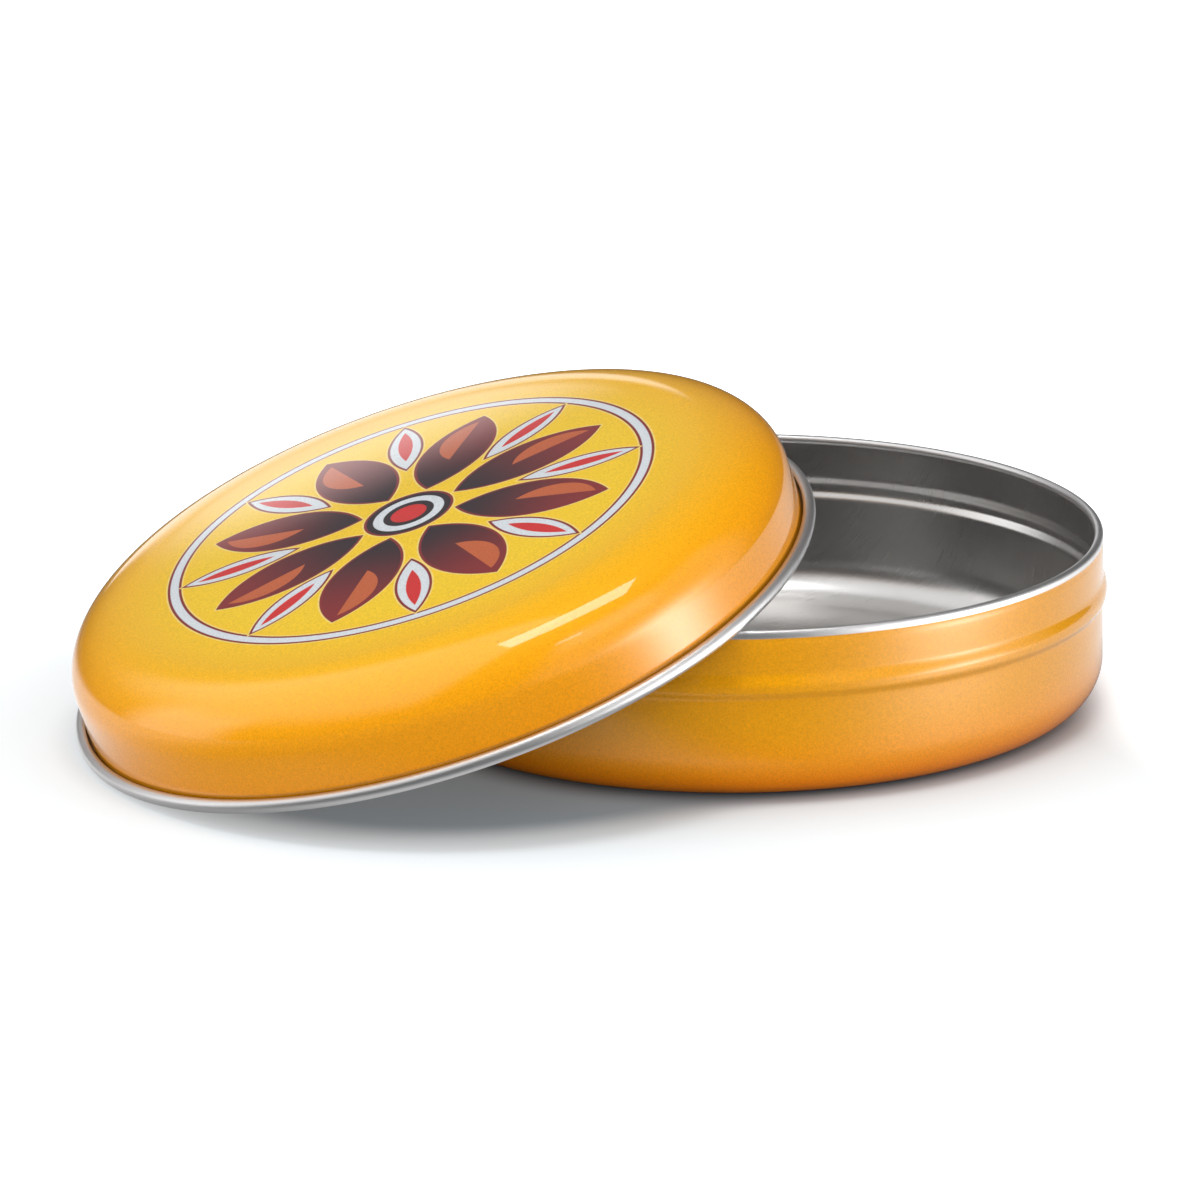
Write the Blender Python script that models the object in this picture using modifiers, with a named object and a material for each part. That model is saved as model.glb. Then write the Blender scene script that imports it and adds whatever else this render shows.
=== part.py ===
"""A round two-piece tin: an open drawn pan, and its domed slip lid taken off and leaned on the pan's rim.

Both pieces are pressed from one thin sheet. Each is drawn here as the line that its printed face follows from
top to bottom, turned about the piece's axis and then thickened towards the bare side.
"""

import math

import bpy

# Driving sizes, in metres. The lid's diameter is taken over its curl, and the pan's size follows from the lid.
SHEET = 0.0003
WELD_DISTANCE = 0.00001

LID_DIAMETER = 0.190
LID_CURL_DIAMETER = 0.0034
SKIRT_FLARE = 0.0002
FLARE_HEIGHT = 0.0022
SKIRT_HEIGHT = 0.0129
SHOULDER_WIDTH = 0.0200
SHOULDER_HEIGHT = 0.0150
CROWN_RISE = 0.0018
LID_CURL_SLIT = 0.0004

SLIP_CLEARANCE = 0.0003
PAN_HEIGHT = 0.0432
RIM_CURL_DIAMETER = 0.0022
NECK_HEIGHT = 0.0104
BEAD_RISE_HEIGHT = 0.0036
BEAD_CREST_HEIGHT = 0.0009
BEAD_FALL_HEIGHT = 0.0026
BEAD_DEPTH = 0.0010
CORNER_RADIUS = 0.0115

RESTING_GAP = 0.0003

# The raised side of the leaning lid's curl stands this many pan heights above its low side
LEAN_RISE_SHARE = 1.372

RIM_CURL_ANGLES = (math.radians(285), 0)
ROUND_STEPS = 64
CURL_STEPS = 10
SHOULDER_STEPS = 6
CROWN_STEPS = 3
BEAD_STEPS = 4
CORNER_STEPS = 5
CONTACT_STEPS = 360
REACH_STEPS = 60

# Sizes that follow from them
LID_CURL_RADIUS = LID_CURL_DIAMETER / 2
LID_CURL_RING = LID_DIAMETER / 2 - LID_CURL_RADIUS
SKIRT_FOOT_RADIUS = LID_CURL_RING - LID_CURL_RADIUS + SHEET
SKIRT_RADIUS = SKIRT_FOOT_RADIUS - SKIRT_FLARE
CROWN_RADIUS = SKIRT_RADIUS - SHOULDER_WIDTH
SHOULDER_TOP = SKIRT_HEIGHT + SHOULDER_HEIGHT

PAN_RADIUS = SKIRT_RADIUS - SHEET - SLIP_CLEARANCE
RIM_CURL_RADIUS = RIM_CURL_DIAMETER / 2
RIM_CURL_RING = PAN_RADIUS - RIM_CURL_RADIUS
RIM_CURL_HEIGHT = PAN_HEIGHT - RIM_CURL_RADIUS
BEAD_TOP = PAN_HEIGHT - NECK_HEIGHT
BEAD_CREST_TOP = BEAD_TOP - BEAD_RISE_HEIGHT
BEAD_CREST_FOOT = BEAD_CREST_TOP - BEAD_CREST_HEIGHT

LEAN_ANGLE = math.asin(LEAN_RISE_SHARE * PAN_HEIGHT / (2 * LID_CURL_RING))


def arc(centre, radii, angles, steps):
    """Points of an elliptical arc about centre, as (radius, height), with both ends."""
    start, end = angles
    points = []
    for step in range(steps + 1):
        angle = start + (end - start) * step / steps
        points.append((centre[0] + radii[0] * math.cos(angle), centre[1] + radii[1] * math.sin(angle)))
    return points


def crown_line():
    """The lid's gently domed centre, from its axis out to the shoulder."""
    points = []
    for step in range(CROWN_STEPS):
        share = step / CROWN_STEPS
        points.append((CROWN_RADIUS * share, SHOULDER_TOP + CROWN_RISE * (1 - share**2)))
    return points


def lid_line():
    """The lid's printed face, from the crown down the skirt and into the outward curl at its foot."""
    shoulder = arc(
        (CROWN_RADIUS, SKIRT_HEIGHT),
        (SHOULDER_WIDTH, SHOULDER_HEIGHT),
        (math.pi / 2, 0),
        SHOULDER_STEPS,
    )
    flare = [(SKIRT_RADIUS, LID_CURL_RADIUS + FLARE_HEIGHT)]
    bore = LID_CURL_RADIUS - SHEET
    tip = 2 * math.pi + math.acos((SKIRT_FOOT_RADIUS + LID_CURL_SLIT - LID_CURL_RING) / LID_CURL_RADIUS)
    curl = arc((LID_CURL_RING, LID_CURL_RADIUS), (bore, bore), (math.pi, tip), CURL_STEPS)
    return crown_line() + shoulder + flare + curl


def bead_slope(top, height, start, end):
    """One flank of the bead, which leaves and meets the wall smoothly. Start and end are shares of its depth."""
    points = []
    for step in range(BEAD_STEPS + 1):
        share = (1 - math.cos(math.pi * step / BEAD_STEPS)) / 2
        radius = PAN_RADIUS + BEAD_DEPTH * (start + (end - start) * share)
        points.append((radius, top - height * step / BEAD_STEPS))
    return points


def bead_line():
    """The stop bead pressed out of the wall: a longer upper flank, a short crest and a firmer lower flank."""
    upper = bead_slope(BEAD_TOP, BEAD_RISE_HEIGHT, 0, 1)
    lower = bead_slope(BEAD_CREST_FOOT, BEAD_FALL_HEIGHT, 1, 0)
    return upper + lower


def pan_line():
    """The pan's outer face, from the tip of the inward curl over the rim and down the wall to the base."""
    rim = arc((RIM_CURL_RING, RIM_CURL_HEIGHT), (RIM_CURL_RADIUS, RIM_CURL_RADIUS), RIM_CURL_ANGLES, CURL_STEPS)
    corner = arc(
        (PAN_RADIUS - CORNER_RADIUS, CORNER_RADIUS),
        (CORNER_RADIUS, CORNER_RADIUS),
        (0, -math.pi / 2),
        CORNER_STEPS,
    )
    return rim + bead_line() + corner + [(0, 0)]


def curl_gap(reach):
    """Least gap between the lid's curl and the pan's rim, with the lid's centre at reach from the pan's axis."""
    least = math.inf
    for step in range(CONTACT_STEPS + 1):
        angle = math.pi * step / CONTACT_STEPS
        along = LID_CURL_RING * math.cos(angle)
        out = math.hypot(reach - along * math.cos(LEAN_ANGLE), LID_CURL_RING * math.sin(angle))
        height = lid_centre_height() + along * math.sin(LEAN_ANGLE)
        apart = math.hypot(out - RIM_CURL_RING, height - RIM_CURL_HEIGHT)
        least = min(least, apart - LID_CURL_RADIUS - RIM_CURL_RADIUS)
    return least


def lid_centre_height():
    """Height of the centre of the curl's ring, with its low side on the ground."""
    return LID_CURL_RADIUS + LID_CURL_RING * math.sin(LEAN_ANGLE)


def lid_reach():
    """Distance of the lid's centre from the pan's axis where the curl comes to rest on the rim."""
    clear = LID_CURL_RING + PAN_RADIUS
    stride = clear / REACH_STEPS
    while curl_gap(clear - stride) > RESTING_GAP:
        clear -= stride
    low, high = clear - stride, clear
    for _ in range(REACH_STEPS):
        middle = (low + high) / 2
        if curl_gap(middle) > RESTING_GAP:
            high = middle
        else:
            low = middle
    return high


def clear_scene():
    for obj in list(bpy.data.objects):
        bpy.data.objects.remove(obj, do_unlink=True)
    for collection in list(bpy.data.collections):
        bpy.data.collections.remove(collection)


def painted_tin(name, colour):
    """Varnished metallic print on tinplate."""
    material = bpy.data.materials.new(name)
    material.use_nodes = True
    shader = material.node_tree.nodes["Principled BSDF"]
    shader.inputs["Base Color"].default_value = (*colour, 1)
    shader.inputs["Metallic"].default_value = 0.55
    shader.inputs["Roughness"].default_value = 0.34
    return material


def pressed_sheet(name, line, material, collection):
    """A piece pressed from sheet: its printed face turned about Z, thickened towards the bare side."""
    mesh = bpy.data.meshes.new(name)
    edges = [(index, index + 1) for index in range(len(line) - 1)]
    mesh.from_pydata([(radius, 0, height) for radius, height in line], edges, [])
    obj = bpy.data.objects.new(name, mesh)
    collection.objects.link(obj)
    obj.data.materials.append(material)
    turn = obj.modifiers.new("Turn", "SCREW")
    turn.axis = "Z"
    turn.steps = ROUND_STEPS
    turn.render_steps = ROUND_STEPS
    turn.use_merge_vertices = True
    turn.merge_threshold = WELD_DISTANCE
    turn.use_smooth_shade = True
    gauge = obj.modifiers.new("Gauge", "SOLIDIFY")
    gauge.thickness = SHEET
    gauge.offset = -1
    gauge.use_even_offset = True
    return obj


def lean_lid(lid):
    """Stands the lid with the low side of its curl on the ground and the curl across the pan's rim."""
    lid.rotation_euler = (0, -LEAN_ANGLE, 0)
    lid.location = (
        LID_CURL_RADIUS * math.sin(LEAN_ANGLE) - lid_reach(),
        0,
        lid_centre_height() - LID_CURL_RADIUS * math.cos(LEAN_ANGLE),
    )


def main():
    clear_scene()
    tin = bpy.data.collections.new("round_slip_lid_tin")
    bpy.context.scene.collection.children.link(tin)
    pressed_sheet("base_pan", pan_line(), painted_tin("orange_print", (0.76, 0.34, 0.06)), tin)
    lid = pressed_sheet("lid", lid_line(), painted_tin("yellow_print", (0.83, 0.48, 0.05)), tin)
    lean_lid(lid)


main()
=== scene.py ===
"""Dresses a round slip-lid tin: a drawn pan that stands level, and its domed lid leaned on the pan's rim.

Each piece is one thin sheet, drawn from a printed blank. It is made here as the line that its printed face
follows. A Geometry Nodes tree turns the line about the piece's axis, and the sheet is then thickened towards
its bare side. All sizes are in metres, and angles are in radians unless a name says degrees.
"""

import logging
import math
from dataclasses import dataclass, field
from enum import Enum
from itertools import accumulate
from typing import Any, ClassVar, Union

import bpy
from mathutils import Euler, Matrix, Vector

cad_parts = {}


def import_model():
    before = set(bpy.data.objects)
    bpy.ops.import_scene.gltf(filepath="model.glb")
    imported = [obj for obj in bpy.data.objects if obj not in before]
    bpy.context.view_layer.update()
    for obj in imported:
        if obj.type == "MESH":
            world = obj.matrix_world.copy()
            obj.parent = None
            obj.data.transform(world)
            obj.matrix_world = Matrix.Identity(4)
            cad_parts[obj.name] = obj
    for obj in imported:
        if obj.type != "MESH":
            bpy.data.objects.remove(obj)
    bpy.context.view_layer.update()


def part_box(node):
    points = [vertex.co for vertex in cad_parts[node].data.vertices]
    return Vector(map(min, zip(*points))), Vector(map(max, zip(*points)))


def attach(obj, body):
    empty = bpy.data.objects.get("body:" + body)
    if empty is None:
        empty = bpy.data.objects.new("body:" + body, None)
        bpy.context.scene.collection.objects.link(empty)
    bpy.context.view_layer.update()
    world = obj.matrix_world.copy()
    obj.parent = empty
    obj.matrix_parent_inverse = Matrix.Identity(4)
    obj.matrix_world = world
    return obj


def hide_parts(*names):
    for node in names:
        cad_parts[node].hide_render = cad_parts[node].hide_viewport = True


LOG = logging.getLogger("round_slip_lid_tin")

QUARTER_TURN = math.pi / 2
FULL_TURN = 2 * math.pi
NOISE_MIDDLE = 0.5

Colour = tuple[float, float, float]
Span = tuple[float, float]
Place = tuple[float, float, float]
Term = Union["Wire", float]


class Body(Enum):
    """The bodies of the frame that pieces ride on."""

    PAN = "base"
    LID = "lid"


class Face(Enum):
    """The two faces of the sheet, by their places in a piece's material slots."""

    PRINTED = 0
    BARE = 1


class Wire:
    """An output socket of a node tree. Arithmetic on it adds Math nodes to the tree."""

    def __init__(self, graph: "Graph", socket: bpy.types.NodeSocket) -> None:
        """Wraps a socket of the graph's tree."""
        self.graph = graph
        self.socket = socket

    def __add__(self, other: Term) -> "Wire":
        """self + other."""
        return self.graph.math("ADD", self, other)

    def __radd__(self, other: float) -> "Wire":
        """other + self."""
        return self.graph.math("ADD", other, self)

    def __sub__(self, other: Term) -> "Wire":
        """self - other."""
        return self.graph.math("SUBTRACT", self, other)

    def __rsub__(self, other: float) -> "Wire":
        """other - self."""
        return self.graph.math("SUBTRACT", other, self)

    def __mul__(self, other: Term) -> "Wire":
        """self * other."""
        return self.graph.math("MULTIPLY", self, other)

    def __rmul__(self, other: float) -> "Wire":
        """other * self."""
        return self.graph.math("MULTIPLY", other, self)

    def __truediv__(self, other: Term) -> "Wire":
        """self / other."""
        return self.graph.math("DIVIDE", self, other)

    def __mod__(self, other: Term) -> "Wire":
        """self % other, never below zero."""
        return self.graph.math("FLOORED_MODULO", self, other)

    def __gt__(self, other: Term) -> "Wire":
        """1 where self is greater than other, else 0."""
        return self.graph.math("GREATER_THAN", self, other)

    def __lt__(self, other: Term) -> "Wire":
        """1 where self is less than other, else 0."""
        return self.graph.math("LESS_THAN", self, other)

    def __abs__(self) -> "Wire":
        """The size of self without its sign."""
        return self.graph.math("ABSOLUTE", self)


class Graph:
    """A node tree that is written as Python expressions."""

    def __init__(self, tree: bpy.types.NodeTree) -> None:
        """Takes the tree to which every node is added."""
        self.tree = tree

    def node(self, kind: str, settings: dict[str, Any], sockets: dict[Any, Any]) -> bpy.types.Node:
        """Adds a node.

        Args:
            kind: The node's type, such as "ShaderNodeMath".
            settings: The node's properties, which are set first.
            sockets: A value or a Wire for each input that is set, by the input's name or place.

        Returns:
            The new node.
        """
        node = self.tree.nodes.new(kind)
        for name, value in settings.items():
            setattr(node, name, value)
        for key, value in sockets.items():
            self.feed(node.inputs[key], value)
        return node

    def feed(self, socket: bpy.types.NodeSocket, value: Any) -> None:
        """Links a Wire to a socket, or sets the socket's own value.

        Args:
            socket: An input of a node.
            value: A Wire or a plain value.
        """
        if isinstance(value, Wire):
            self.tree.links.new(value.socket, socket)
        else:
            socket.default_value = value

    def wire(self, kind: str, settings: dict[str, Any], sockets: dict[Any, Any], output: Any = 0) -> Wire:
        """Adds a node and returns one of its outputs, by name or place."""
        return Wire(self, self.node(kind, settings, sockets).outputs[output])

    def math(self, operation: str, *values: Term) -> Wire:
        """Adds a Math node on one to three values."""
        return self.wire("ShaderNodeMath", {"operation": operation}, dict(enumerate(values)))

    def clamped(self, value: Wire) -> Wire:
        """The value held between 0 and 1."""
        return self.wire("ShaderNodeClamp", {}, {"Value": value})

    def rise(self, value: Wire, low: float, high: float) -> Wire:
        """0 below low and 1 above high, with a smooth rise between them; low may be the greater."""
        sockets = {"Value": value, "From Min": low, "From Max": high}
        return self.wire("ShaderNodeMapRange", {"interpolation_type": "SMOOTHSTEP"}, sockets)

    def vector(self, operation: str, first: Any, second: Any) -> Wire:
        """Adds a Vector Math node on two vectors."""
        return self.wire("ShaderNodeVectorMath", {"operation": operation}, {0: first, 1: second})

    def scaled(self, colour: Wire, share: Wire) -> Wire:
        """The colour or vector times a number."""
        return self.wire("ShaderNodeVectorMath", {"operation": "SCALE"}, {0: colour, "Scale": share})

    def length(self, vector: Wire) -> Wire:
        """The length of a vector."""
        return self.wire("ShaderNodeVectorMath", {"operation": "LENGTH"}, {0: vector}, "Value")

    def parts(self, vector: Wire) -> list[Wire]:
        """The X, Y and Z of a vector."""
        node = self.node("ShaderNodeSeparateXYZ", {}, {0: vector})
        return [Wire(self, socket) for socket in node.outputs]

    def mixed(self, share: Wire, first: Any, second: Any) -> Wire:
        """The first colour where share is 0 and the second where it is 1.

        Args:
            share: How much of the second colour shows.
            first: A Wire or a colour.
            second: A Wire or a colour.

        Returns:
            The mixed colour.
        """
        sides = [side if isinstance(side, Wire) else (*side, 1) for side in (first, second)]
        node = self.node("ShaderNodeMix", {"data_type": "RGBA", "clamp_factor": True}, {})
        inputs = {socket.name: socket for socket in node.inputs if socket.enabled}
        for name, value in zip(("Factor", "A", "B"), (share, *sides)):
            self.feed(inputs[name], value)
        return Wire(self, next(socket for socket in node.outputs if socket.enabled))

    def spread(self, place: Wire, size: Any) -> Wire:
        """The place counted in steps of a size, which is one length or one for each axis."""
        steps = size if isinstance(size, tuple) else (size,) * 3
        return self.vector("MULTIPLY", place, tuple(1 / step for step in steps))

    def noise(self, place: Wire, size: Any, detail: float = 2.0, roughness: float = 0.5) -> Wire:
        """Noise of about 0 to 1.

        Args:
            place: Where it is read.
            size: How far its features reach, as one length or one for each axis.
            detail: How many octaves finer it goes.
            roughness: How strong each octave is against the one before.

        Returns:
            The noise.
        """
        spread = self.spread(place, size)
        sockets = {"Vector": spread, "Scale": 1.0, "Detail": detail, "Roughness": roughness}
        return self.wire("ShaderNodeTexNoise", {}, sockets, "Fac")


@dataclass
class Coordinates:
    """Where a point of a piece lies in the piece's own frame, as wires of its material."""

    graph: Graph
    place: Wire
    x: Wire
    y: Wire
    height: Wire
    radius: Wire

    @classmethod
    def of_piece(cls, graph: Graph, pose: "Pose") -> "Coordinates":
        """Measures the coordinates.

        Args:
            graph: The material's graph.
            pose: The piece's pose.

        Returns:
            The piece's own coordinates.
        """
        world = graph.wire("ShaderNodeTexCoord", {}, {}, "Object")
        sockets = {"Vector": world, "Location": pose.location, "Rotation": pose.turn}
        place = graph.wire("ShaderNodeMapping", {"vector_type": "TEXTURE"}, sockets)
        x, y, height = graph.parts(place)
        return cls(graph, place, x, y, height, graph.math("SQRT", x * x + y * y))


@dataclass(frozen=True)
class Pose:
    """Where a piece stands in the frame, and how it was drawn from its blank.

    On the flat blank, a point of the wall lay as far outside the panel as it now is from the panel's plane.
    The sheet goes over into its rolled edge between the two heights of rolled_edge.
    """

    location: Vector
    turn: Euler
    panel_height: float
    rolled_edge: Span

    def blank(self, at: Coordinates) -> Wire:
        """Where a point lay on the flat blank, so that the rolling grain follows the drawing.

        Args:
            at: The piece's own coordinates.

        Returns:
            A vector in the plane of the blank.
        """
        drawn = abs(at.height - self.panel_height)
        stretch = 1 + drawn / at.graph.math("MAXIMUM", at.radius, drawn)
        return at.graph.wire("ShaderNodeCombineXYZ", {}, {"X": at.x * stretch, "Y": at.y * stretch})


@dataclass(frozen=True)
class BareTinplate:
    """Bright tinplate with straight rolling grain, faint stains, a duller skin and painted sheen on its
    rolled edge.
    """

    colour: Colour = (0.63, 0.62, 0.61)
    stain: Colour = (0.52, 0.50, 0.47)
    stain_rise: Span = (0.5, 0.8)
    stain_share: float = 0.5
    # Lighter colour of the rolled edge: a painted sheen
    painted_edge_sheen_colour: Colour = (0.76, 0.75, 0.75)
    roughness: float = 0.3
    edge_roughness: float = 0.45
    grain_swing: float = 0.17
    cloud_swing: float = 0.06
    grain_length: float = 0.014
    grain_width: float = 0.0003
    grain_depth: float = 0.000004
    cloud_size: float = 0.03

    def look(self, pose: Pose, at: Coordinates) -> tuple[Wire, Wire, Wire]:
        """The look of the metal.

        Args:
            pose: The piece's pose.
            at: The piece's own coordinates.

        Returns:
            The base colour, the roughness and the relief in metres.
        """
        graph = at.graph
        grain_size = (self.grain_length, self.grain_width, 1.0)
        grain = graph.noise(pose.blank(at), grain_size, detail=3.0, roughness=0.6)
        cloud = graph.noise(at.place, self.cloud_size)
        edge = graph.rise(at.height, *pose.rolled_edge)
        stained = graph.rise(cloud, *self.stain_rise) * self.stain_share
        colour = graph.mixed(stained, self.colour, self.stain)
        # Painted sheen: the rolled edge takes a lighter colour
        colour = graph.mixed(edge, colour, self.painted_edge_sheen_colour)
        swing = self.grain_swing * (grain - NOISE_MIDDLE) + self.cloud_swing * (cloud - NOISE_MIDDLE)
        roughness = self.roughness + swing + (self.edge_roughness - self.roughness) * edge
        return colour, roughness, grain * self.grain_depth

    def material(self, pose: Pose, suffix: str) -> bpy.types.Material:
        """Makes the material for one piece.

        Args:
            pose: The piece's pose.
            suffix: The piece's name, which ends the material's name.

        Returns:
            The new material.
        """
        material, graph, shader = new_material(f"bare_tinplate_{suffix}")
        colour, roughness, relief = self.look(pose, Coordinates.of_piece(graph, pose))
        connect_look(shader, {"Base Color": colour, "Roughness": roughness, "Metallic": 1.0}, relief)
        return material


@dataclass(frozen=True)
class Leaf:
    """A leaf pointed at both ends and bounded by two arcs, which lies along a line from the centre."""

    start: float
    end: float
    half_width: float

    def inside(self, along: Wire, across: Wire) -> Wire:
        """Measures a point against the leaf.

        Args:
            along: The point's distance from the centre along the leaf's line.
            across: Its distance from that line.

        Returns:
            How far inside the leaf it is.
        """
        half_length = (self.end - self.start) / 2
        radius = (half_length**2 + self.half_width**2) / (2 * self.half_width)
        middle = along - (self.start + half_length)
        aside = abs(across) + (radius - self.half_width)
        return radius - along.graph.math("SQRT", middle * middle + aside * aside)


@dataclass(frozen=True)
class Rosette:
    """A traditional eight-petalled rosette for the lid's crown, with darts between the petals and a ring.

    Every motif is a distance in metres, positive inside, so that its keylines keep their width all round.
    """

    petals: int = 8
    petal: Leaf = Leaf(0.0135, 0.0530, 0.0088)
    gleam: Leaf = Leaf(0.0290, 0.0505, 0.0060)
    dart: Leaf = Leaf(0.0290, 0.0575, 0.0040)
    heart: Leaf = Leaf(0.0345, 0.0545, 0.0019)
    band_radius: float = 0.0605
    band_half_width: float = 0.0011
    boss_radius: float = 0.0108
    boss_ring_radius: float = 0.0078
    boss_ring_half_width: float = 0.0013
    boss_heart_radius: float = 0.0046
    outline: float = 0.0007
    keyline: float = 0.0004
    ink_edge: float = 0.00012
    ink: Colour = (0.022, 0.012, 0.018)
    maroon: Colour = (0.240, 0.022, 0.024)
    brick: Colour = (0.540, 0.120, 0.040)
    silver: Colour = (0.700, 0.740, 0.780)
    red: Colour = (0.640, 0.028, 0.028)
    pale: Colour = (0.930, 0.690, 0.200)

    def folded(self, at: Coordinates, shift: float) -> tuple[Wire, Wire]:
        """Folds the crown into one sector.

        Args:
            at: The lid's own coordinates.
            shift: Share of a sector by which the pattern is turned.

        Returns:
            Distances along and across the axis of the sector.
        """
        graph = at.graph
        sector = FULL_TURN / self.petals
        turn = graph.math("ARCTAN2", at.y, at.x) / sector + (0.5 + shift)
        angle = (turn % 1.0 - 0.5) * sector
        return at.radius * graph.math("COSINE", angle), at.radius * graph.math("SINE", angle)

    def laid(self, ground: Wire, inside: Wire, ink: Any, lined: bool) -> Wire:
        """Prints one motif over the ground, with a dark outline and a pale keyline round it.

        Args:
            ground: What is printed so far.
            inside: How far inside the motif a point is.
            ink: The motif's colour, a Wire or a colour.
            lined: Whether the motif has its two lines.

        Returns:
            The print with the motif.
        """
        graph = inside.graph
        soft = self.ink_edge
        if lined:
            outer = self.outline + self.keyline
            pale = graph.rise(inside, -outer - soft, soft - outer)
            ground = graph.mixed(pale, ground, self.pale)
            dark = graph.rise(inside, -self.outline - soft, soft - self.outline)
            ground = graph.mixed(dark, ground, self.maroon)
        return graph.mixed(graph.rise(inside, -soft, soft), ground, ink)

    def printed(self, at: Coordinates, ground: Wire) -> Wire:
        """Prints the whole rosette.

        Args:
            at: The lid's own coordinates.
            ground: The colour of the ground.

        Returns:
            The colour with the rosette.
        """
        graph = at.graph
        along, across = self.folded(at, 0.0)
        between, beside = self.folded(at, 0.5)
        petal_ink = graph.mixed(graph.rise(along, self.petal.start, self.petal.end), self.ink, self.maroon)
        half_gleam = graph.math("MINIMUM", self.gleam.inside(along, across), across)
        motifs = [
            (self.band_half_width - abs(at.radius - self.band_radius), self.silver, True),
            (self.dart.inside(between, beside), self.silver, True),
            (self.heart.inside(between, beside), self.red, False),
            (self.petal.inside(along, across), petal_ink, True),
            (half_gleam, self.brick, False),
            (self.boss_radius - at.radius, self.ink, True),
            (self.boss_ring_half_width - abs(at.radius - self.boss_ring_radius), self.silver, False),
            (self.boss_heart_radius - at.radius, self.red, False),
        ]
        for inside, ink, lined in motifs:
            ground = self.laid(ground, inside, ink, lined)
        return ground


@dataclass(frozen=True)
class MetallicPrint:
    """Translucent colour under clear varnish, with the fine sparkle of the metal below it."""

    name: str
    inner: Colour
    outer: Colour
    fade: Span
    fade_down_wall: float = 0.45
    margin: Span | None = None
    rosette: Rosette | None = None
    metallic: float = 0.06
    roughness: float = 0.45
    specular: float = 0.1
    fleck_size: float = 0.00045
    fleck_share: float = 0.72
    fleck_depth: float = 0.000006
    fleck_swing: float = 0.12
    cloud_swing: float = 0.05
    speck_spacing: float = 0.007
    speck_radius: float = 0.00016
    speck_softness: float = 0.5
    speck_share: float = 0.5
    # Painted shade: the heights over which the print darkens in the crevice above the lid's curl, and by how
    # much
    painted_crevice_shade: Span | None = None
    painted_crevice_shade_share: float = 0.38
    cloud_size: float = 0.02
    varnish: float = 1.0
    varnish_roughness: float = 0.04

    def ground(self, pose: Pose, at: Coordinates) -> Wire:
        """The colour of the ground, which deepens from the panel's middle out and down the wall."""
        drawn = at.radius + abs(at.height - pose.panel_height) * self.fade_down_wall
        return at.graph.mixed(at.graph.rise(drawn, *self.fade), self.inner, self.outer)

    def specks(self, at: Coordinates) -> Wire:
        """The few small specks of dust under the varnish.

        Args:
            at: The piece's own coordinates.

        Returns:
            1 on a speck, else 0.
        """
        graph = at.graph
        sockets = {"Vector": graph.spread(at.place, self.speck_spacing), "Scale": 1.0}
        apart = graph.wire("ShaderNodeTexVoronoi", {}, sockets, "Distance")
        edge = self.speck_radius / self.speck_spacing
        return graph.rise(apart, edge * (1 + self.speck_softness), edge * (1 - self.speck_softness))

    def material(self, pose: Pose, bare: BareTinplate) -> bpy.types.Material:
        """Makes the print, which gives way to bare metal at the margin.

        Args:
            pose: The piece's pose.
            bare: The finish of the metal outside the print.

        Returns:
            The new material.
        """
        material, graph, shader = new_material(self.name)
        at = Coordinates.of_piece(graph, pose)
        colour = self.ground(pose, at)
        if self.rosette is not None:
            colour = self.rosette.printed(at, colour)
        fleck = graph.noise(at.place, self.fleck_size, roughness=0.7)
        cloud = graph.noise(at.place, self.cloud_size)
        flecks_specks_and_shade = (1 + self.fleck_share * (fleck - NOISE_MIDDLE)) * (1 - self.speck_share * self.specks(at))
        # Painted shade: darkens the print low on the lid's skirt, in the crevice above the curl
        if self.painted_crevice_shade is not None:
            flecks_specks_and_shade = flecks_specks_and_shade * (1 - self.painted_crevice_shade_share * graph.rise(at.height, *self.painted_crevice_shade))
        colour = graph.scaled(colour, flecks_specks_and_shade)
        swing = self.fleck_swing * (fleck - NOISE_MIDDLE) + self.cloud_swing * (cloud - NOISE_MIDDLE)
        roughness = self.roughness + swing
        relief = fleck * self.fleck_depth
        look = {
            "Base Color": colour,
            "Roughness": roughness,
            "Metallic": self.metallic,
            "Specular IOR Level": self.specular,
            "Coat Weight": self.varnish,
            "Coat Roughness": self.varnish_roughness,
        }
        if self.margin is not None:
            printed = graph.rise(at.height, *self.margin)
            metal, metal_roughness, metal_relief = bare.look(pose, at)
            look["Base Color"] = graph.mixed(printed, metal, colour)
            look["Roughness"] = metal_roughness + (roughness - metal_roughness) * printed
            look["Metallic"] = 1 + (self.metallic - 1) * printed
            look["Coat Weight"] = self.varnish * printed
            relief = metal_relief + (relief - metal_relief) * printed
        connect_look(shader, look, relief)
        return material


def new_material(name: str) -> tuple[bpy.types.Material, Graph, bpy.types.Node]:
    """Makes a material with one Principled shader.

    Args:
        name: The material's name.

    Returns:
        The material, its graph and its shader.
    """
    material = bpy.data.materials.new(name)
    material.use_nodes = True
    return material, Graph(material.node_tree), material.node_tree.nodes["Principled BSDF"]


def connect_look(shader: bpy.types.Node, look: dict[str, Any], relief: Wire) -> None:
    """Gives a shader its look.

    Args:
        shader: The Principled shader.
        look: A value or a Wire for each of the shader's sockets, by name.
        relief: The height of the surface's fine relief in metres.
    """
    sockets = {"Height": relief, "Distance": 1.0, "Strength": 1.0}
    bump = relief.graph.wire("ShaderNodeBump", {}, sockets, "Normal")
    for name, value in {**look, "Normal": bump}.items():
        relief.graph.feed(shader.inputs[name], value)


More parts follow.
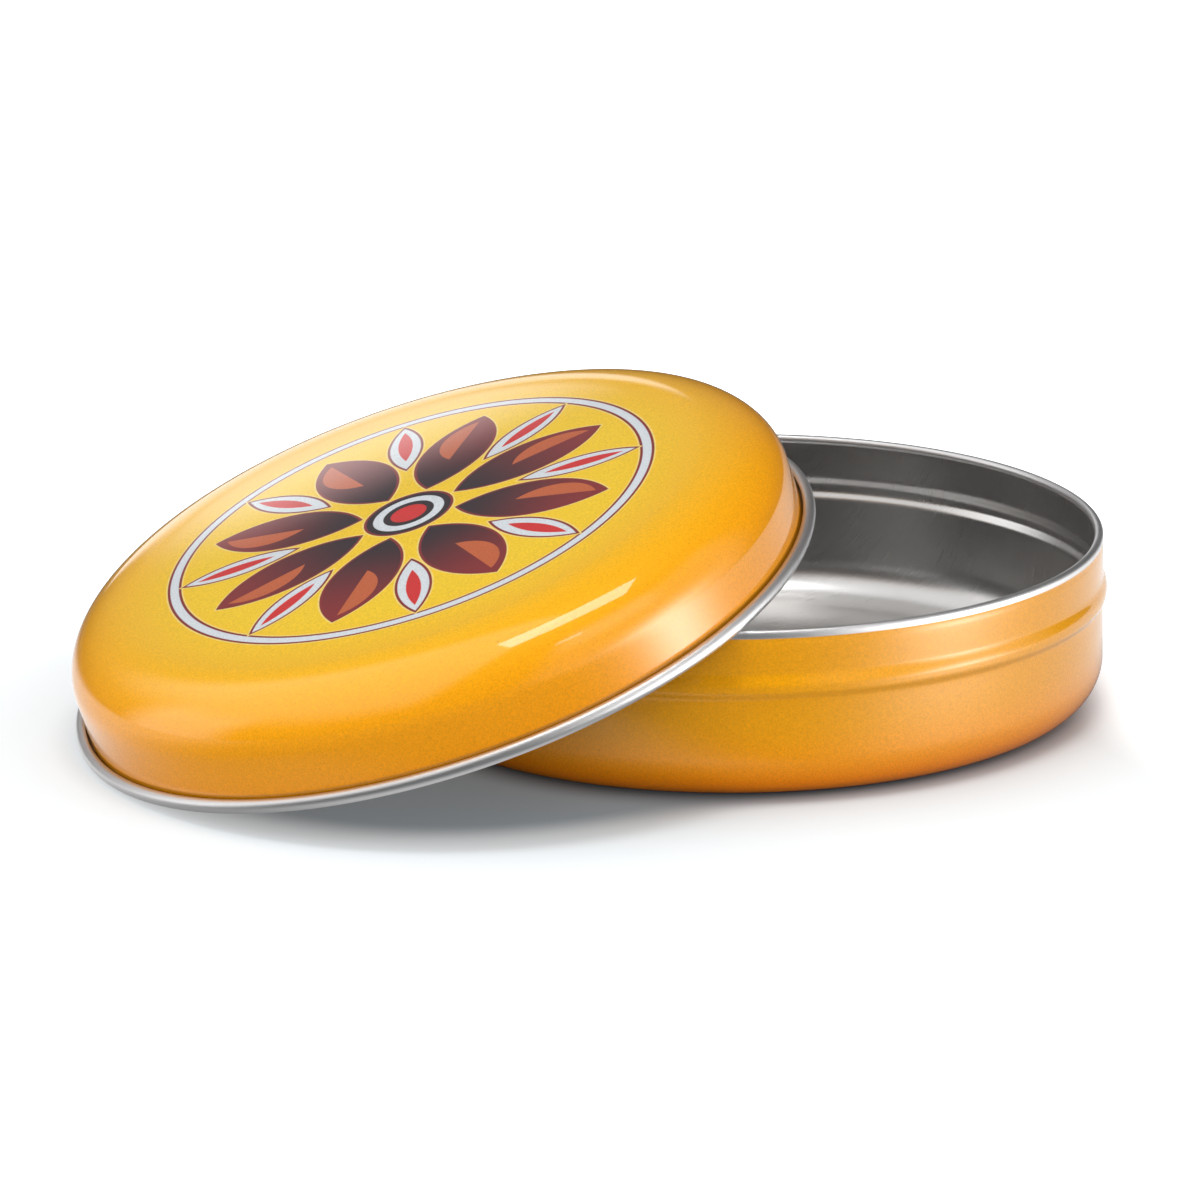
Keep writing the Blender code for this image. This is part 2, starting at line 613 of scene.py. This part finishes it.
@dataclass
class TurnedSheet:
    """A thin sheet turned about Z. Each kind gives the line of its printed face and the legs' steps."""

    legs: ClassVar[dict[str, int]]
    curl_diameter: float
    gauge: float = 0.0003
    turn_steps: int = 256
    weld: float = 0.000001
    sharp_degrees: float = 60.0

    @property
    def stations(self) -> int:
        """How many steps the whole line has."""
        return sum(self.legs.values())

    @property
    def curl_radius(self) -> float:
        """Radius of the curl, over the sheet."""
        return self.curl_diameter / 2

    @property
    def curled(self) -> tuple[int, int]:
        """First and last station of the stretch that is rolled into a curl and is left bare."""
        raise NotImplementedError

    def sizes(self) -> dict[str, float]:
        """The named inputs of the tree, with their values."""
        raise NotImplementedError

    def line(self, legs: list[Wire], size: dict[str, Wire]) -> tuple[Wire, Wire]:
        """The line of the printed face.

        Args:
            legs: How far along each leg a station is, 0 before the leg and 1 after it.
            size: The tree's inputs, by name.

        Returns:
            The radius and the height of each station.
        """
        raise NotImplementedError

    def tree(self, name: str, faces: dict[Face, bpy.types.Material]) -> bpy.types.NodeTree:
        """Builds the Geometry Nodes tree that turns the line.

        Args:
            name: The tree's name.
            faces: The materials of the two faces.

        Returns:
            The tree, with one input for each of the sizes.
        """
        tree = bpy.data.node_groups.new(name, "GeometryNodeTree")
        for label in self.sizes():
            tree.interface.new_socket(name=label, in_out="INPUT", socket_type="NodeSocketFloat")
        tree.interface.new_socket(name="Sheet", in_out="OUTPUT", socket_type="NodeSocketGeometry")
        graph = Graph(tree)
        entry = graph.node("NodeGroupInput", {}, {})
        size = {label: Wire(graph, entry.outputs[label]) for label in self.sizes()}

        counts = {"Vertices X": self.stations + 1, "Vertices Y": self.turn_steps + 1}
        grid = graph.wire("GeometryNodeMeshGrid", {}, {"Size X": 1.0, "Size Y": 1.0, **counts}, "Mesh")
        along, around, _ = graph.parts(graph.wire("GeometryNodeInputPosition", {}, {}))
        station = graph.math("ROUND", (along + 0.5) * self.stations)

        # Each point's station is kept from before the points are moved
        capture = graph.node("GeometryNodeCaptureAttribute", {}, {"Geometry": grid})
        capture.capture_items.new("FLOAT", "Station")
        graph.feed(capture.inputs["Station"], station)
        grid, kept = (Wire(graph, capture.outputs[name]) for name in ("Geometry", "Station"))

        starts = accumulate(self.legs.values(), initial=0)
        legs = [graph.clamped((station - start) / steps) for start, steps in zip(starts, self.legs.values())]
        radius, height = self.line(legs, size)
        angle = (around + 0.5) * FULL_TURN
        x, y = radius * graph.math("COSINE", angle), radius * graph.math("SINE", angle)
        place = graph.wire("ShaderNodeCombineXYZ", {}, {"X": x, "Y": y, "Z": height})
        turned = graph.wire("GeometryNodeSetPosition", {}, {"Geometry": grid, "Position": place})
        welded = graph.wire("GeometryNodeMergeByDistance", {}, {"Geometry": turned, "Distance": self.weld})
        realized = graph.wire("GeometryNodeRealizeInstances", {}, {"Geometry": welded})
        first, last = self.curled
        rolled = (kept > first) * (kept < last)
        printed = {"Geometry": realized, "Material": faces[Face.PRINTED]}
        sheet = graph.wire("GeometryNodeSetMaterial", {}, printed)
        bare = {"Geometry": sheet, "Selection": rolled, "Material": faces[Face.BARE]}
        sheet = graph.wire("GeometryNodeSetMaterial", {}, bare)
        graph.node("NodeGroupOutput", {}, {"Sheet": sheet})
        return tree

    def build(self, name: str, pose: Pose, faces: dict[Face, bpy.types.Material]) -> bpy.types.Object:
        """Makes the sheet as a plain mesh in its place.

        Args:
            name: The piece's name.
            pose: The piece's pose.
            faces: The materials of the two faces.

        Returns:
            The piece, with its object at the origin.
        """
        carrier = bpy.data.objects.new(f"{name}_carrier", bpy.data.meshes.new(f"{name}_carrier"))
        bpy.context.scene.collection.objects.link(carrier)
        # Set Material leaves the first slot empty, and the thickness takes its slots from the carrier
        for material in (None, faces[Face.PRINTED], faces[Face.BARE]):
            carrier.data.materials.append(material)
        turning = carrier.modifiers.new("Turned line", "NODES")
        turning.node_group = self.tree(f"{name}_line", faces)
        values = self.sizes()
        for item in turning.node_group.interface.items_tree:
            if item.in_out == "INPUT":
                turning[item.identifier] = values[item.name]
        gauge = carrier.modifiers.new("Gauge", "SOLIDIFY")
        gauge.thickness = self.gauge
        gauge.offset = -1.0
        gauge.use_even_offset = True
        gauge.material_offset = Face.BARE.value
        gauge.material_offset_rim = Face.BARE.value

        evaluated = carrier.evaluated_get(bpy.context.evaluated_depsgraph_get())
        mesh = bpy.data.meshes.new_from_object(evaluated)
        bpy.data.objects.remove(carrier)
        mesh.materials.pop(index=0)
        mesh.name = name
        mesh.transform(Matrix.LocRotScale(pose.location, pose.turn, None))
        mesh.shade_smooth()
        mesh.set_sharp_from_angle(angle=math.radians(self.sharp_degrees))
        piece = bpy.data.objects.new(name, mesh)
        bpy.context.scene.collection.objects.link(piece)
        LOG.info("%s: %d faces", name, len(mesh.polygons))
        return piece


@dataclass
class LidShell(TurnedSheet):
    """The lid: domed crown, rounded shoulder, near-vertical skirt and an outward false-wire curl."""

    legs: ClassVar[dict[str, int]] = {"crown": 24, "shoulder": 30, "skirt": 6, "flare": 5, "curl": 40}
    diameter: float = 0.18998
    curl_diameter: float = 0.0034
    curl_slit: float = 0.0004
    flare: float = 0.0002
    flare_height: float = 0.0022
    skirt_height: float = 0.0129
    shoulder_width: float = 0.0200
    shoulder_height: float = 0.01489
    crown_rise: float = 0.0018

    @property
    def curl_ring(self) -> float:
        """Radius of the ring that the curl's centre follows."""
        return self.diameter / 2 - self.curl_radius

    @property
    def panel_height(self) -> float:
        """Height of the crown's edge above the curl's foot."""
        return self.skirt_height + self.shoulder_height

    @property
    def curled(self) -> tuple[int, int]:
        """The curl's stations, which end the line."""
        return self.stations - self.legs["curl"], self.stations + 1

    def sizes(self) -> dict[str, float]:
        """The lid's sizes.

        Returns:
            The sizes, by the names of the tree's inputs.
        """
        bore = self.curl_radius - self.gauge
        foot = self.curl_ring - bore
        tip = math.acos((foot + self.curl_slit - self.curl_ring) / self.curl_radius)
        return {
            "Crown radius": foot - self.flare - self.shoulder_width,
            "Crown height": self.panel_height + self.crown_rise,
            "Crown rise": self.crown_rise,
            "Shoulder width": self.shoulder_width,
            "Shoulder height": self.shoulder_height,
            "Skirt drop": self.skirt_height - self.curl_radius - self.flare_height,
            "Flare": self.flare,
            "Flare drop": self.flare_height,
            "Curl bore": bore,
            "Curl sweep": math.pi + tip,
        }

    def line(self, legs: list[Wire], size: dict[str, Wire]) -> tuple[Wire, Wire]:
        """From the crown's centre down the skirt and round inside the curl.

        Args:
            legs: How far along each leg a station is.
            size: The tree's inputs, by name.

        Returns:
            The radius and the height of each station.
        """
        graph = legs[0].graph
        crown, shoulder, skirt, flare, curl = legs
        bend = shoulder * QUARTER_TURN
        roll = curl * size["Curl sweep"] + math.pi
        radius = (
            crown * size["Crown radius"]
            + graph.math("SINE", bend) * size["Shoulder width"]
            + flare * flare * size["Flare"]
            + (graph.math("COSINE", roll) + 1) * size["Curl bore"]
        )
        height = (
            size["Crown height"]
            - crown * crown * size["Crown rise"]
            - (1 - graph.math("COSINE", bend)) * size["Shoulder height"]
            - skirt * size["Skirt drop"]
            - flare * size["Flare drop"]
            + graph.math("SINE", roll) * size["Curl bore"]
        )
        return radius, height


@dataclass
class PanShell(TurnedSheet):
    """The pan: inward curled rim, neck, outward stop bead, wall, rounded corner and flat base."""

    legs: ClassVar[dict[str, int]] = {
        "curl": 30, "groove": 8, "neck": 6,
        "bead rise": 12, "bead crest": 3, "bead fall": 12,
        "wall": 8, "corner": 16, "base": 12,
    }
    wall_radius: float = 0.0911
    height: float = 0.0432
    curl_diameter: float = 0.0022
    curl_sweep_degrees: float = 285.0
    groove_height: float = 0.0026
    groove_depth: float = 0.00012
    neck_height: float = 0.0104
    bead_rise_height: float = 0.0036
    bead_crest_height: float = 0.0009
    bead_fall_height: float = 0.0026
    bead_depth: float = 0.00099
    corner_radius: float = 0.0115
    margin_height: float = 0.0019

    @property
    def curled(self) -> tuple[int, int]:
        """The rim curl's stations, which start the line."""
        return -1, self.legs["curl"]

    def sizes(self) -> dict[str, float]:
        """The pan's sizes.

        Returns:
            The sizes, by the names of the tree's inputs.
        """
        bead_height = self.bead_rise_height + self.bead_crest_height + self.bead_fall_height
        return {
            "Curl radius": self.curl_radius,
            "Curl ring": self.wall_radius - self.curl_radius,
            "Curl height": self.height - self.curl_radius,
            "Curl sweep": math.radians(self.curl_sweep_degrees),
            "Groove drop": self.groove_height,
            "Groove depth": self.groove_depth,
            "Neck drop": self.neck_height - self.curl_radius - self.groove_height,
            "Bead rise drop": self.bead_rise_height,
            "Bead crest drop": self.bead_crest_height,
            "Bead fall drop": self.bead_fall_height,
            "Bead depth": self.bead_depth,
            "Wall drop": self.height - self.neck_height - bead_height - self.corner_radius,
            "Corner radius": self.corner_radius,
            "Base radius": self.wall_radius - self.corner_radius,
        }

    def line(self, legs: list[Wire], size: dict[str, Wire]) -> tuple[Wire, Wire]:
        """From the tip of the rim's curl over the rim, down the wall and in to the base's centre.

        Args:
            legs: How far along each leg a station is.
            size: The tree's inputs, by name.

        Returns:
            The radius and the height of each station.
        """
        graph = legs[0].graph
        curl, groove, neck, rise, crest, fall, wall, corner, base = legs
        roll = (1 - curl) * size["Curl sweep"]
        bulge = (graph.math("COSINE", fall * math.pi) - graph.math("COSINE", rise * math.pi)) / 2.0
        bend = corner * QUARTER_TURN
        radius = (
            size["Curl ring"]
            + graph.math("COSINE", roll) * size["Curl radius"]
            - (1 - graph.math("COSINE", groove * FULL_TURN)) / 2.0 * size["Groove depth"]
            + bulge * size["Bead depth"]
            - (1 - graph.math("COSINE", bend)) * size["Corner radius"]
            - base * size["Base radius"]
        )
        height = (
            size["Curl height"]
            + graph.math("SINE", roll) * size["Curl radius"]
            - groove * size["Groove drop"]
            - neck * size["Neck drop"]
            - rise * size["Bead rise drop"]
            - crest * size["Bead crest drop"]
            - fall * size["Bead fall drop"]
            - wall * size["Wall drop"]
            - graph.math("SINE", bend) * size["Corner radius"]
        )
        return radius, height


@dataclass
class Tin:
    """The pan and its leaning lid."""

    pan: PanShell = field(default_factory=PanShell)
    lid: LidShell = field(default_factory=LidShell)
    bare: BareTinplate = field(default_factory=BareTinplate)
    lean_rise_share: float = 1.372
    standing_height: float = 0.000004
    crown_and_skirt: tuple[Colour, Colour] = ((0.920, 0.600, 0.020), (0.900, 0.320, 0.001))
    # The pan's corner colour is the print's orange, lifted by painted light that makes up for the shade on
    # the corner
    corner_and_wall: tuple[Colour, Colour] = ((1.000, 0.262, 0.001), (0.855, 0.352, 0.002))
    lid_fade: Span = (0.048, 0.108)
    pan_fade: Span = (0.0885, 0.1010)
    # Heights of the painted shade that darkens the lid's print in the crevice above its curl
    painted_crevice_shade: Span = (0.0042, 0.0034)
    margin_softness: float = 0.0004
    rolled_edge_blend: float = 0.2

    @property
    def lean(self) -> float:
        """The lid's lean, from the height by which one side of its curl is raised."""
        return math.asin(self.lean_rise_share * self.pan.height / (2 * self.lid.curl_ring))

    def lid_pose(self) -> Pose:
        """Finds where the lid leans, with the raised side of its curl where the frame has it.

        Returns:
            The lid's pose.
        """
        raised_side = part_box("lid")[1][0]
        centre = raised_side - self.lid.curl_radius - self.lid.curl_ring * math.cos(self.lean)
        ring_height = self.lid.curl_radius + self.lid.curl_ring * math.sin(self.lean)
        location = Vector((
            centre + self.lid.curl_radius * math.sin(self.lean),
            0.0,
            self.standing_height + ring_height - self.lid.curl_radius * math.cos(self.lean),
        ))
        edge = (self.lid.curl_diameter * (1 + self.rolled_edge_blend), self.lid.curl_diameter)
        return Pose(location, Euler((0.0, -self.lean, 0.0)), self.lid.panel_height, edge)

    def build_lid(self) -> None:
        """Makes the lid and rides it on its body."""
        pose = self.lid_pose()
        colours = self.crown_and_skirt
        ink = MetallicPrint("yellow_print", *colours, self.lid_fade, rosette=Rosette(), painted_crevice_shade=self.painted_crevice_shade)
        faces = {Face.PRINTED: ink.material(pose, self.bare), Face.BARE: self.bare.material(pose, "lid")}
        piece = self.lid.build("lid_shell", pose, faces)
        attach(piece, Body.LID.value)
        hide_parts("lid")

    def build_pan(self) -> None:
        """Makes the pan and rides it on its body."""
        foot = self.pan.height - self.pan.curl_diameter
        rolled_edge = (foot - self.pan.curl_diameter * self.rolled_edge_blend, foot)
        pose = Pose(Vector((0.0, 0.0, self.standing_height)), Euler((0.0, 0.0, 0.0)), 0.0, rolled_edge)
        edge = self.pan.height - self.pan.margin_height
        margin = (edge + self.margin_softness / 2, edge - self.margin_softness / 2)
        # The fade from the corner up the wall carries painted light on the shaded corner
        ink = MetallicPrint("orange_print", *self.corner_and_wall, self.pan_fade, margin=margin)
        faces = {Face.PRINTED: ink.material(pose, self.bare), Face.BARE: self.bare.material(pose, "pan")}
        piece = self.pan.build("pan_shell", pose, faces)
        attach(piece, Body.PAN.value)
        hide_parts("base_pan")


@dataclass(frozen=True)
class Softbox:
    """A rectangular area lamp that faces the tin."""

    name: str
    azimuth_degrees: float
    elevation_degrees: float
    distance: float
    width: float
    height: float
    radiance: float
    mirrored: bool = True

    def place(self, target: Vector) -> None:
        """Makes the lamp.

        Args:
            target: The point that it faces.
        """
        azimuth, elevation = math.radians(self.azimuth_degrees), math.radians(self.elevation_degrees)
        level = math.cos(elevation)
        away = Vector((level * math.cos(azimuth), level * math.sin(azimuth), math.sin(elevation)))
        lamp = bpy.data.lights.new(self.name, "AREA")
        lamp.shape = "RECTANGLE"
        lamp.size = self.width
        lamp.size_y = self.height
        lamp.energy = self.radiance * math.pi * self.width * self.height
        obj = bpy.data.objects.new(self.name, lamp)
        obj.location = target + away * self.distance
        obj.rotation_euler = away.to_track_quat("Z", "Y").to_euler()
        obj.visible_glossy = self.mirrored
        bpy.context.scene.collection.objects.link(obj)


@dataclass(frozen=True)
class BrightWall:
    """A bright part of the room with soft edges, by where it is seen from the tin, in degrees."""

    azimuth: float
    elevation: float
    half_width: float
    half_height: float
    side_softness: float
    top_softness: float
    level: float

    def light(self, azimuth: Wire, elevation: Wire) -> Wire:
        """The light that comes from a direction.

        Args:
            azimuth: The direction's azimuth in degrees.
            elevation: Its elevation in degrees.

        Returns:
            The radiance.
        """
        aside = abs((azimuth + (180.0 - self.azimuth)) % 360.0 - 180.0)
        above = abs(elevation - self.elevation)
        sides = (self.half_width + self.side_softness, self.half_width - self.side_softness)
        ends = (self.half_height + self.top_softness, self.half_height - self.top_softness)
        graph = azimuth.graph
        return graph.rise(aside, *sides) * graph.rise(above, *ends) * self.level


@dataclass(frozen=True)
class Glare:
    """The round glare of a lamp, by where it is seen from the tin, in degrees."""

    azimuth: float
    elevation: float
    width: float
    height: float
    level: float

    def light(self, azimuth: Wire, elevation: Term) -> Wire:
        """The light that comes from a direction.

        Args:
            azimuth: The direction's azimuth in degrees.
            elevation: Its elevation in degrees.

        Returns:
            The radiance.
        """
        aside = (azimuth - self.azimuth) / self.width
        above = (elevation - self.elevation) / self.height
        return azimuth.graph.math("EXPONENT", (aside * aside + above * above) * -1.0) * self.level


@dataclass
class Studio:
    """A white table-top studio: camera, floor, surroundings and softboxes.

    Azimuths are counted in the frame from +X, and the camera looks along the view's azimuth. Between the two
    lengths of a rise or fall, a part of the floor's light comes up or goes out. A footprint is given by the X
    of its centre and its radius.
    """

    photo_width: int = 1181
    focal_pixels: float = 8000.0
    sensor_millimetres: float = 36.0
    camera_place: Place = (-0.7995, -1.7365, 0.5805)
    camera_clip: Span = (0.05, 50.0)
    view_azimuth_degrees: float = 66.364
    view_pitch_degrees: float = 16.137
    view_roll_degrees: float = -0.663
    target: Place = (-0.075, -0.084, 0.05)
    floor_size: float = 14.0
    floor_gap: float = 0.0002
    floor_roughness: float = 0.9
    floor_colour: Colour = (0.46, 0.50, 0.523)
    shaded_floor_colour: Colour = (0.19, 0.25, 0.30)
    shade_reach: Span = (0.0005, 0.014)
    footprints: tuple[Span, ...] = ((0.0, 0.079), (-0.075, 0.072))
    footprint_blend: float = 0.04
    glow_near: float = 0.12
    glow_around: float = 0.48
    glow_half_way: float = 0.018
    glow_far_rise: Span = (0.045, 0.10)
    glow_aside: float = 0.45
    glow_aside_rise: Span = (0.06, 0.088)
    contact_rise: Span = (0.0, 0.016)
    mirrored_share: float = 0.25
    mirrored_rise: Span = (0.0, 0.045)
    lid_glow: float = 0.28
    lid_glow_in_front: float = 0.34
    lid_front_rise: Span = (-0.05, -0.09)
    lid_glow_fall: Span = (0.06, 0.022)
    lid_glow_rise: Span = (0.01, 0.04)
    floor_patches: tuple[BrightWall, ...] = (
        BrightWall(-24.0, 0.0, 62.0, 90.0, 22.0, 1.0, 0.95),
        BrightWall(155.0, 0.0, 25.0, 90.0, 14.0, 1.0, 0.9),
    )
    glare: Glare = Glare(-42.0, -1.0, 15.0, 17.0, 8.5)
    glare_floor_rise: Span = (0.08, 0.36)
    glare_floor_centre: Place = (-0.06, -0.03, 0.0)
    room_level: float = 0.04
    walls: tuple[BrightWall, ...] = (
        BrightWall(167.0, 65.0, 60.0, 37.0, 8.0, 14.0, 1.12),
        BrightWall(151.0, 8.0, 17.0, 21.0, 8.0, 10.0, 1.65),
        BrightWall(-68.0, 48.0, 22.0, 11.0, 6.0, 9.0, 0.9),
        BrightWall(-48.0, 8.0, 42.0, 49.0, 10.0, 8.0, 0.6),
        BrightWall(-87.0, 53.0, 6.0, 2.0, 1.0, 0.7, 3.5),
        BrightWall(77.5, 8.0, 6.0, 14.5, 1.5, 2.0, 1.5),
        BrightWall(90.0, 35.0, 40.0, 25.0, 15.0, 12.0, 0.1),
    )
    softboxes: tuple[Softbox, ...] = (
        Softbox("overhead", -90.0, 86.0, 1.2, 0.56, 0.29, 6.8),
        Softbox("overhead_fill", -90.0, 86.0, 1.25, 0.56, 0.29, 4.9, mirrored=False),
        Softbox("front_fill", -147.0, 10.0, 1.5, 1.2, 0.8, 3.1, mirrored=False),
        Softbox("side_fill", -20.0, 8.0, 1.5, 0.6, 0.6, 1.4, mirrored=False),
        Softbox("low_fill", -122.0, 5.0, 1.5, 1.0, 0.3, 2.2, mirrored=False),
    )

    def camera(self) -> None:
        """Sets the camera where the photograph was taken from."""
        camera = bpy.data.cameras.new("camera")
        camera.sensor_width = self.sensor_millimetres
        camera.lens = camera.sensor_width * self.focal_pixels / self.photo_width
        camera.clip_start, camera.clip_end = self.camera_clip
        pitch = QUARTER_TURN - math.radians(self.view_pitch_degrees)
        heading = math.radians(self.view_azimuth_degrees) - QUARTER_TURN
        roll = Matrix.Rotation(math.radians(self.view_roll_degrees), 3, "Z")
        turn = (Euler((pitch, 0.0, heading)).to_matrix() @ roll).to_quaternion()
        obj = bpy.data.objects.new("camera", camera)
        obj.matrix_world = Matrix.LocRotScale(Vector(self.camera_place), turn, None)
        bpy.context.scene.collection.objects.link(obj)
        bpy.context.scene.camera = obj

    def floor(self) -> None:
        """Lays the white floor, which shows white away from the tin and keeps the tin's shadow near it."""
        half = self.floor_size / 2
        mesh = bpy.data.meshes.new("floor")
        corners = [(-half, -half), (half, -half), (half, half), (-half, half)]
        mesh.from_pydata([(x, y, -self.floor_gap) for x, y in corners], [], [(0, 1, 2, 3)])
        floor = bpy.data.objects.new("floor", mesh)
        bpy.context.scene.collection.objects.link(floor)
        material, graph, shader = new_material("floor_paper")
        shader.inputs["Roughness"].default_value = self.floor_roughness
        shader.inputs["Specular IOR Level"].default_value = 0.0
        shader.inputs["Emission Color"].default_value = (1, 1, 1, 1)
        path = graph.node("ShaderNodeLightPath", {}, {})
        camera, mirrored = (Wire(graph, path.outputs[name]) for name in ("Is Camera Ray", "Is Glossy Ray"))
        place = graph.wire("ShaderNodeTexCoord", {}, {}, "Object")
        from_pan, from_lid = self.footprint_distances(place)
        away = graph.math("SMOOTH_MIN", from_pan, from_lid, self.footprint_blend)
        seen = self.seen_glow(place, away) * graph.rise(from_pan, *self.contact_rise)
        beside_lid = graph.rise(from_lid, *self.lid_glow_fall) * graph.rise(from_pan, *self.lid_glow_rise)
        reflected = self.reflected_glow(place, away, beside_lid)
        graph.feed(shader.inputs["Emission Strength"], camera * seen + mirrored * reflected)
        dimmed = tuple(channel * self.mirrored_share for channel in self.floor_colour)
        open_floor = graph.rise(away, *self.shade_reach)
        colour = graph.mixed(open_floor, self.shaded_floor_colour, self.floor_colour)
        graph.feed(shader.inputs["Base Color"], graph.mixed(mirrored, colour, dimmed))
        mesh.materials.append(material)

    def seen_glow(self, place: Wire, away: Wire) -> Wire:
        """The floor's own light as the camera sees it.

        Args:
            place: A point of the floor.
            away: How far it lies outside both footprints.

        Returns:
            The radiance, which is least beside the tin.
        """
        graph = place.graph
        outside = graph.math("MAXIMUM", away, 0.0)
        squared = outside * outside
        around = squared / (squared + self.glow_half_way**2) * self.glow_around
        far = graph.rise(away, *self.glow_far_rise) * (1 - self.glow_near - self.glow_around)
        aside = graph.rise(graph.parts(place)[0], *self.glow_aside_rise) * self.glow_aside
        return around + far + aside + self.glow_near

    def reflected_glow(self, place: Wire, away: Wire, beside_lid: Wire) -> Wire:
        """The floor's own light as the tin mirrors it.

        Args:
            place: A point of the floor.
            away: How far it lies outside both footprints.
            beside_lid: 1 close round the lid, else 0.

        Returns:
            The radiance.
        """
        graph = place.graph
        azimuth, elevation = self.angles(place)
        patches = sum(patch.light(azimuth, elevation) for patch in self.floor_patches)
        from_centre = graph.vector("SUBTRACT", place, self.glare_floor_centre)
        glare = self.glare.light(self.angles(from_centre)[0], 0.0)
        in_front = graph.rise(graph.parts(place)[1], *self.lid_front_rise)
        lid_glow = (self.lid_glow + self.lid_glow_in_front * in_front) * beside_lid
        far_glare = glare * graph.rise(graph.length(place), *self.glare_floor_rise)
        return patches * graph.rise(away, *self.mirrored_rise) + far_glare + lid_glow

    def footprint_distances(self, place: Wire) -> list[Wire]:
        """Measures a point of the floor against the round footprints of the pan and the lid.

        Args:
            place: The point.

        Returns:
            How far it lies outside each.
        """
        distances = []
        for centre, radius in self.footprints:
            offset = place.graph.vector("SUBTRACT", place, (centre, 0.0, 0.0))
            distances.append(place.graph.length(offset) - radius)
        return distances

    def angles(self, direction: Wire) -> tuple[Wire, Wire]:
        """Measures the direction of a vector.

        Args:
            direction: The vector.

        Returns:
            Its azimuth and elevation in degrees.
        """
        graph = direction.graph
        x, y, z = graph.parts(direction)
        level = graph.math("SQRT", x * x + y * y)
        azimuth = graph.math("DEGREES", graph.math("ARCTAN2", y, x))
        return azimuth, graph.math("DEGREES", graph.math("ARCTAN2", z, level))

    def surroundings(self) -> None:
        """Makes the world: a dim room with bright walls and the glare, seen by the camera as plain white."""
        world = bpy.data.worlds.new("studio")
        world.use_nodes = True
        bpy.context.scene.world = world
        graph = Graph(world.node_tree)
        direction = graph.wire("ShaderNodeTexCoord", {}, {}, "Generated")
        azimuth, elevation = self.angles(direction)
        sources = (self.glare, *self.walls)
        level = self.room_level + sum(source.light(azimuth, elevation) for source in sources)
        camera = Wire(graph, graph.node("ShaderNodeLightPath", {}, {}).outputs["Is Camera Ray"])
        strength = level + (1 - level) * camera
        background = world.node_tree.nodes["Background"]
        background.inputs["Color"].default_value = (1, 1, 1, 1)
        graph.feed(background.inputs["Strength"], strength)

    def build(self) -> None:
        """Makes the camera, the floor, the surroundings and the lamps."""
        bpy.context.scene.view_settings.view_transform = "Standard"
        self.camera()
        self.floor()
        self.surroundings()
        for softbox in self.softboxes:
            softbox.place(Vector(self.target))


def main() -> None:
    """Loads the frame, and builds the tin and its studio."""
    logging.basicConfig(level=logging.INFO, format="%(name)s: %(message)s")
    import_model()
    Studio().build()
    tin = Tin()
    tin.build_pan()
    tin.build_lid()


if __name__ == "__main__":
    main()
